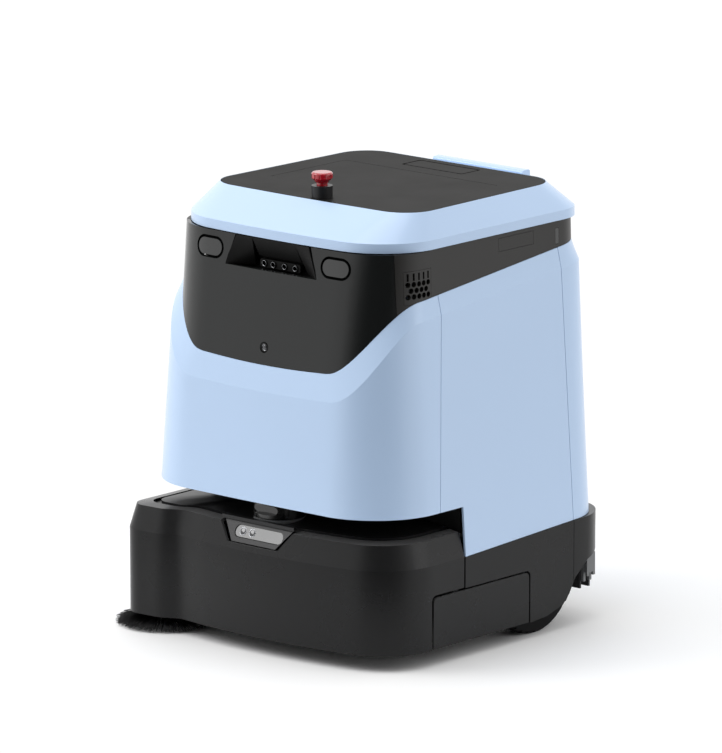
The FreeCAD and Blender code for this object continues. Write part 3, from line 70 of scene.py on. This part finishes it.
# Side brush
TUFTS = 44
TUFT_ROWS = 2
TUFT_BRISTLES = 16
BRISTLE_RADIUS = 0.00042
BRISTLE_STEPS = 4
BRISTLE_SIDES = 3
BRISTLE_TAPER = 0.45
TUFT_SPREAD = 0.055         # radians
ROOT_RING = 0.33            # shares of the brush's reach
ROW_STEP = 0.05
TIP_RING = (0.86, 0.985)
ROOT_HEIGHT = 0.0125        # above the brush's lowest point
ROW_DROP = 0.003
ROOT_SCATTER = 0.0015
HEIGHT_SCATTER = 0.001
TIP_HEIGHT = (0.0005, 0.006)
DROOP = (0.0005, 0.003)

# Lenses
LATHE_STEPS = 48
DOME_RINGS = 8
FORWARD = (0, -1, 0)
FRONT_LENS = (MIDDLE_X, -0.1872, 0.392)
FRONT_LENS_RING = (MIDDLE_X, -0.1885, 0.392)
DEPTH_LENS_OFFSETS = (-0.026, -0.011, 0.008, 0.026)
DEPTH_LENS_Y = -0.1592
DEPTH_RING_Y = -0.1605
DEPTH_LENS_Z = 0.49225
SENSOR_LENS_OFFSETS = (-0.0235, -0.0080)
SENSOR_LENS_Y = -0.20396
SENSOR_LENS_Z = 0.1525
SENSOR_LEAN = math.radians(26)
FRONT_DOME = (0.0045, 0.0026)               # radius and rise
DEPTH_DOME = (0.0029, 0.0009)
SENSOR_DOME = (0.0046, 0.0006)
FRONT_RIM = (0.0046, 0.0006, 0.0003)        # radius, width and rise
DEPTH_RIM = (0.0036, 0.0005, 0.0002)
SENSOR_RIM = (0.0054, 0.0008, 0.0003)


# ---- Small helpers ----

def new_piece(name, mesh, body, material):
    piece = bpy.data.objects.new(name, mesh)
    bpy.context.scene.collection.objects.link(piece)
    piece.data.materials.append(material)
    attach(piece, body)
    return piece


def finish_mesh(bm, name):
    mesh = bpy.data.meshes.new(name)
    bmesh.ops.recalc_face_normals(bm, faces=bm.faces)
    bm.to_mesh(mesh)
    bm.free()
    for polygon in mesh.polygons:
        polygon.use_smooth = True
    return mesh


def lathe(bm, profile, centre, axis):
    """Turns a profile of (radius, height) pairs about an axis through centre; height runs along it."""
    axis = Vector(axis).normalized()
    side = axis.orthogonal().normalized()
    other = axis.cross(side)
    rows = []
    for radius, height in profile:
        row = []
        for i in range(LATHE_STEPS):
            a = 2 * math.pi * i / LATHE_STEPS
            offset = side * math.cos(a) * radius + other * math.sin(a) * radius
            row.append(bm.verts.new(Vector(centre) + axis * height + offset))
        rows.append(row)
    for lower, upper in zip(rows, rows[1:]):
        for i in range(LATHE_STEPS):
            j = (i + 1) % LATHE_STEPS
            bm.faces.new((lower[i], lower[j], upper[j], upper[i]))
    bm.faces.new(rows[0])
    bm.faces.new(rows[-1])


# ---- Materials ----

def noise(tree, place, scale, detail):
    texture = tree.nodes.new("ShaderNodeTexNoise")
    texture.inputs["Scale"].default_value = scale
    texture.inputs["Detail"].default_value = detail
    tree.links.new(place.outputs["Object"], texture.inputs["Vector"])
    return texture


def material(name, colour, roughness, tint=0.04, spread=0.04, grain=900.0, relief=0.02, specular=0.5,
             metallic=0.0, coat=0.0):
    """A moulded or painted surface: slight colour drift, uneven gloss and a fine surface texture."""
    mat = bpy.data.materials.new(name)
    mat.use_nodes = True
    tree = mat.node_tree
    shader = tree.nodes["Principled BSDF"]
    shader.inputs["Metallic"].default_value = metallic
    shader.inputs["Coat Weight"].default_value = coat
    shader.inputs["Coat Roughness"].default_value = COAT_ROUGHNESS
    shader.inputs["Specular IOR Level"].default_value = specular
    place = tree.nodes.new("ShaderNodeTexCoord")
    shade = tree.nodes.new("ShaderNodeMix")
    shade.data_type = "RGBA"
    shade.inputs["A"].default_value = (*[c * (1 - tint) for c in colour], 1)
    shade.inputs["B"].default_value = (*[min(1.0, c * (1 + tint)) for c in colour], 1)
    tree.links.new(noise(tree, place, COLOUR_PATCHES, PATCH_DETAIL).outputs["Fac"], shade.inputs["Factor"])
    tree.links.new(shade.outputs["Result"], shader.inputs["Base Color"])
    gloss = tree.nodes.new("ShaderNodeMapRange")
    gloss.inputs["To Min"].default_value = max(0.0, roughness - spread)
    gloss.inputs["To Max"].default_value = min(1.0, roughness + spread)
    tree.links.new(noise(tree, place, GLOSS_PATCHES, PATCH_DETAIL).outputs["Fac"], gloss.inputs["Value"])
    tree.links.new(gloss.outputs["Result"], shader.inputs["Roughness"])
    bump = tree.nodes.new("ShaderNodeBump")
    bump.inputs["Strength"].default_value = relief
    bump.inputs["Distance"].default_value = RELIEF_DEPTH
    tree.links.new(noise(tree, place, grain, GRAIN_DETAIL).outputs["Fac"], bump.inputs["Height"])
    tree.links.new(bump.outputs["Normal"], shader.inputs["Normal"])
    return mat


def add_painted_highlight(mat, colour):
    """Painted highlight: mixes a paler colour into the surfaces that face up, standing in for the light they
    reflect.
    """
    tree = mat.node_tree
    shader = tree.nodes["Principled BSDF"]
    unlit_colour = shader.inputs["Base Color"].links[0].from_socket
    facing = tree.nodes.new("ShaderNodeNewGeometry")
    parts = tree.nodes.new("ShaderNodeSeparateXYZ")
    tree.links.new(facing.outputs["Normal"], parts.inputs["Vector"])
    highlight_share = tree.nodes.new("ShaderNodeMapRange")
    highlight_share.inputs["From Min"].default_value = PAINTED_HIGHLIGHT_STARTS
    highlight_share.inputs["From Max"].default_value = PAINTED_HIGHLIGHT_FULL
    tree.links.new(parts.outputs["Z"], highlight_share.inputs["Value"])
    highlight_mix = tree.nodes.new("ShaderNodeMix")
    highlight_mix.data_type = "RGBA"
    highlight_mix.inputs["B"].default_value = (*colour, 1)
    tree.links.new(highlight_share.outputs["Result"], highlight_mix.inputs["Factor"])
    tree.links.new(unlit_colour, highlight_mix.inputs["A"])
    tree.links.new(highlight_mix.outputs["Result"], shader.inputs["Base Color"])


BLUE = material("blue_gloss", (0.49, 0.645, 0.875), 0.30, tint=0.012, relief=0.012, grain=2400, coat=0.3)
BLACK = material("black_satin", (0.014, 0.014, 0.015), 0.33, tint=0.10, grain=1600, relief=0.06,
                 specular=0.32)
BASE = material("base_satin", (0.005, 0.005, 0.0054), 0.28, tint=0.12, grain=1600, relief=0.05, specular=0.26)
MASK = material("mask_gloss", (0.009, 0.010, 0.010), 0.16, tint=0.05, spread=0.02, relief=0.0, specular=0.35,
                coat=0.2)
BAND = material("band_matt", (0.018, 0.017, 0.016), 0.38, tint=0.06, grain=1700, relief=0.05, specular=0.35)
PANEL = material("panel_satin", (0.013, 0.0125, 0.012), 0.50, tint=0.06, grain=1900, relief=0.04,
                 specular=0.06)
WINDOW = material("smoked_window", (0.010, 0.011, 0.011), 0.12, tint=0.05, relief=0.0, coat=0.5)
VOID = material("dark_inside", (0.005, 0.005, 0.005), 0.55, tint=0.1, specular=0.15)
GREY = material("grey_plastic", (0.16, 0.165, 0.17), 0.42, tint=0.06, relief=0.05)
RED = material("red_gloss", (0.42, 0.006, 0.016), 0.18, tint=0.05, relief=0.0, coat=0.9)
STEEL = material("bright_steel", (0.60, 0.60, 0.61), 0.30, metallic=1.0)
FRAME_STEEL = material("frame_paint", (0.05, 0.053, 0.056), 0.45, tint=0.1, relief=0.08)
TANK = material("tank_plastic", (0.62, 0.65, 0.66), 0.40, tint=0.03, grain=500, relief=0.05)
CAP = material("cap_blue", (0.03, 0.10, 0.28), 0.40, tint=0.05, relief=0.05)
RUBBER = material("rubber", (0.016, 0.016, 0.017), 0.72, tint=0.15, relief=0.15)
TYRE = material("tyre", (0.006, 0.006, 0.0065), 0.80, tint=0.2, grain=700, relief=0.25, specular=0.15)
ALLOY = material("motor_alloy", (0.42, 0.42, 0.43), 0.36, tint=0.05, metallic=1.0, relief=0.05)
BRISTLE = material("bristle", (0.010, 0.010, 0.011), 0.50, tint=0.3, relief=0.0)
LENS = material("lens_glass", (0.010, 0.011, 0.016), 0.04, tint=0.05, spread=0.01, relief=0.0, coat=1.0)
GLINT = material("lens_rim", (0.45, 0.46, 0.48), 0.25, metallic=1.0)

# Painted highlight on the base's upward faces, standing in for reflected light
add_painted_highlight(BASE, PAINTED_HIGHLIGHT_COLOUR)

NODE_MATERIALS = {
    BLUE: ["front_shell", "body_side_panels", "rear_shell", "lid_rim"],
    BLACK: ["front_deck", "sensor_bracket", "fill_cup", "stop_body", "side_brush_hub", "caster_fork_left",
            "caster_fork_right", "roller_hood"],
    BASE: ["bumper", "side_panels", "tail_cover", "side_door_left", "side_door_right"],
    MASK: ["front_mask"],
    BAND: ["upper_band", "vent_grilles", "port_cover"],
    PANEL: ["lid_panel", "flap"],
    WINDOW: ["sensor_windows", "status_lights", "lidar_head"],
    VOID: ["mask_liner", "bay_liner", "cameras"],
    GREY: ["lidar_base", "battery_pack", "control_box", "vacuum_housing", "wheel_rim_left",
           "wheel_rim_right", "squeegee_bar", "fan_impeller"],
    RED: ["stop_plunger", "stop_cap"],
    STEEL: ["chassis_screws", "hinge_bracket", "roller_bearings", "charging_contacts"],
    FRAME_STEEL: ["chassis_frame", "squeegee_guides"],
    TANK: ["clean_tank", "recovery_tank"],
    CAP: ["tank_caps"],
    RUBBER: ["suction_riser", "squeegee_blades", "drive_belt"],
    TYRE: ["wheel_tyre_left", "wheel_tyre_right", "caster_wheel_left", "caster_wheel_right"],
    ALLOY: ["motors", "motor_pulley", "roller_core"],
    BRISTLE: ["roller_bristles", "side_brush_bristles"],
}


def dress_nodes():
    for mat, names in NODE_MATERIALS.items():
        for name in names:
            for slot in nodes[name].material_slots:
                slot.material = mat


def soften_edges(names, width):
    """A small round along the sharp edges, so they catch the light."""
    for name in names:
        bevel = nodes[name].modifiers.new("edge", "BEVEL")
        bevel.width = width
        bevel.segments = EDGE_SEGMENTS
        bevel.limit_method = "ANGLE"
        bevel.angle_limit = SHARP_ANGLE
        bevel.harden_normals = True


# ---- Side brush ----

def bristle(bm, root, tip, thickness, droop):
    """One three-sided bristle, bending down towards its tip."""
    along = tip - root
    side = along.cross(Vector((0, 0, 1))).normalized()
    up = side.cross(along).normalized()
    rows = []
    for i in range(BRISTLE_STEPS + 1):
        t = i / BRISTLE_STEPS
        centre = root + along * t + Vector((0, 0, droop * t * (1 - t) * 4))
        size = thickness * (1 - BRISTLE_TAPER * t)
        row = []
        for k in range(BRISTLE_SIDES):
            a = 2 * math.pi * k / BRISTLE_SIDES
            row.append(bm.verts.new(centre + side * math.cos(a) * size + up * math.sin(a) * size))
        rows.append(row)
    for lower, upper in zip(rows, rows[1:]):
        for k in range(BRISTLE_SIDES):
            j = (k + 1) % BRISTLE_SIDES
            bm.faces.new((lower[k], lower[j], upper[j], upper[k]))
    bm.faces.new(rows[0])
    bm.faces.new(rows[-1])


def side_brush():
    """Tufts of bristles fanning out and down from the hub to the floor."""
    low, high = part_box("side_brush_bristles")
    centre = (low + high) / 2
    reach = (high.x - low.x) / 2
    bm = bmesh.new()
    for tuft in range(TUFTS):
        for row in range(TUFT_ROWS):
            heading = 2 * math.pi * (tuft + 0.5 * row) / TUFTS
            root_height = low.z + ROOT_HEIGHT - ROW_DROP * row
            for _ in range(TUFT_BRISTLES):
                a = heading + random.gauss(0, TUFT_SPREAD)
                start = reach * (ROOT_RING + ROW_STEP * row) + random.uniform(-ROOT_SCATTER, ROOT_SCATTER)
                end = reach * random.uniform(*TIP_RING)
                root = Vector((centre.x + math.cos(heading) * start, centre.y + math.sin(heading) * start,
                               root_height + random.uniform(-HEIGHT_SCATTER, HEIGHT_SCATTER)))
                tip = Vector((centre.x + math.cos(a) * end, centre.y + math.sin(a) * end,
                              low.z + random.uniform(*TIP_HEIGHT)))
                bristle(bm, root, tip, BRISTLE_RADIUS, random.uniform(*DROOP))
    mesh = finish_mesh(bm, "side_brush_tufts")
    piece = new_piece("side_brush_tufts", mesh, "side_brush", BRISTLE)
    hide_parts("side_brush_bristles")


# ---- Lenses ----

def glass_dome(name, radius, rise, centre, axis):
    """A lens's bulging front."""
    bm = bmesh.new()
    profile = []
    for i in range(DOME_RINGS):
        a = math.pi / 2 * i / DOME_RINGS
        profile.append((radius * math.cos(a), rise * math.sin(a)))
    lathe(bm, profile, centre, axis)
    new_piece(name, finish_mesh(bm, name), "chassis", LENS)


def lens_ring(name, radius, width, rise, centre, axis):
    """The thin bright ring round a lens."""
    bm = bmesh.new()
    profile = [(radius, 0), (radius, rise), (radius - 0.3 * width, 1.4 * rise), (radius - width, rise),
               (radius - width, 0)]
    lathe(bm, profile, centre, axis)
    new_piece(name, finish_mesh(bm, name), "chassis", GLINT)


def lenses():
    glass_dome("front_lens", *FRONT_DOME, FRONT_LENS, FORWARD)
    lens_ring("front_lens_ring", *FRONT_RIM, FRONT_LENS_RING, FORWARD)
    for i, x in enumerate(DEPTH_LENS_OFFSETS):
        lens = (MIDDLE_X + x, DEPTH_LENS_Y, DEPTH_LENS_Z)
        ring = (MIDDLE_X + x, DEPTH_RING_Y, DEPTH_LENS_Z)
        glass_dome(f"depth_lens_{i}", *DEPTH_DOME, lens, FORWARD)
        lens_ring(f"depth_lens_ring_{i}", *DEPTH_RIM, ring, FORWARD)
    outward = (0, -math.cos(SENSOR_LEAN), math.sin(SENSOR_LEAN))
    for i, x in enumerate(SENSOR_LENS_OFFSETS):
        centre = (MIDDLE_X + x, SENSOR_LENS_Y, SENSOR_LENS_Z)
        glass_dome(f"sensor_lens_{i}", *SENSOR_DOME, centre, outward)
        lens_ring(f"sensor_lens_ring_{i}", *SENSOR_RIM, centre, outward)


# ---- Camera, light and floor ----

AZIMUTH = math.radians(41.38)
ELEVATION = math.radians(12.54)
DISTANCE = 10.496
FOCAL_RATIO = 8195 / 753
SENSOR = 36.0
TARGET = Vector((0.017, 0.016, 0.3201))
SIDE_SHIFT = 0.0139
DARK_STARTS = 0.48          # how squarely a direction faces the dark side, from 0 to 1
DARK_FULL = 0.97
BRIGHT = 1.04
DARK = 0.03
LIGHTS = [                  # name, place, target, size and power
    ("front_left", (-2.2, -2.1, 2.25), (0, 0, 0.3), (1.6, 1.6), 37),
    ("right", (3.0, 1.4, 1.2), (0, 0, 0.3), (1.6, 2.0), 8),
    ("top", (-0.4, -0.6, 3.4), (0, 0, 0.5), (2.6, 2.6), 27),
]
FLOOR_RADIUS = 0.64
FLOOR_SEGMENTS = 96


def camera():
    right = Vector((math.cos(AZIMUTH), math.sin(AZIMUTH), 0))
    back = Vector((math.sin(AZIMUTH) * math.cos(ELEVATION), -math.cos(AZIMUTH) * math.cos(ELEVATION),
                   math.sin(ELEVATION)))
    up = back.cross(right)
    data = bpy.data.cameras.new("view")
    data.sensor_width = SENSOR
    data.lens = FOCAL_RATIO * SENSOR
    data.clip_end = 60
    view = bpy.data.objects.new("view", data)
    bpy.context.scene.collection.objects.link(view)
    target = TARGET - right * SIDE_SHIFT
    turn = Matrix((right, up, back)).transposed().to_4x4()
    view.matrix_world = Matrix.Translation(target + back * DISTANCE) @ turn
    bpy.context.scene.camera = view


def area_light(name, place, target, size, power):
    data = bpy.data.lights.new(name, "AREA")
    data.shape = "RECTANGLE"
    data.size, data.size_y = size
    data.energy = power
    light = bpy.data.objects.new(name, data)
    bpy.context.scene.collection.objects.link(light)
    light.location = place
    light.rotation_euler = (Vector(target) - Vector(place)).to_track_quat("-Z", "Y").to_euler()


def surroundings():
    """A room with one dark side, which the object's front corner reflects; seen directly, it is all white."""
    world = bpy.data.worlds.new("studio")
    world.use_nodes = True
    tree = world.node_tree
    background = tree.nodes["Background"]
    place = tree.nodes.new("ShaderNodeTexCoord")
    towards = tree.nodes.new("ShaderNodeVectorMath")
    towards.operation = "DOT_PRODUCT"
    towards.inputs[1].default_value = (math.sin(AZIMUTH), -math.cos(AZIMUTH), 0)
    tree.links.new(place.outputs["Generated"], towards.inputs[0])
    fall = tree.nodes.new("ShaderNodeMapRange")
    fall.interpolation_type = "SMOOTHSTEP"
    fall.inputs["From Min"].default_value = DARK_STARTS
    fall.inputs["From Max"].default_value = DARK_FULL
    fall.inputs["To Min"].default_value = BRIGHT
    fall.inputs["To Max"].default_value = DARK
    tree.links.new(towards.outputs["Value"], fall.inputs["Value"])
    path = tree.nodes.new("ShaderNodeLightPath")
    backdrop = tree.nodes.new("ShaderNodeMath")
    backdrop.operation = "MAXIMUM"
    tree.links.new(path.outputs["Is Camera Ray"], backdrop.inputs[0])
    tree.links.new(fall.outputs["Result"], backdrop.inputs[1])
    tree.links.new(backdrop.outputs["Value"], background.inputs["Strength"])
    background.inputs["Color"].default_value = (1, 1, 1, 1)
    return world


def studio():
    scene = bpy.context.scene
    scene.view_settings.view_transform = "Standard"
    scene.world = surroundings()
    for light in LIGHTS:
        area_light(*light)


def floor():
    bm = bmesh.new()
    bmesh.ops.create_circle(bm, cap_ends=True, segments=FLOOR_SEGMENTS, radius=FLOOR_RADIUS)
    piece = bpy.data.objects.new("floor", finish_mesh(bm, "floor"))
    bpy.context.scene.collection.objects.link(piece)
    pale = material("floor_pale", (0.96, 0.96, 0.96), 0.7, tint=0.004, relief=0.0)
    piece.data.materials.append(pale)


camera()
studio()
floor()
dress_nodes()
soften_edges(SHELLS, SHELL_EDGE)
soften_edges(BASE_PARTS, BASE_EDGE)
side_brush()
lenses()
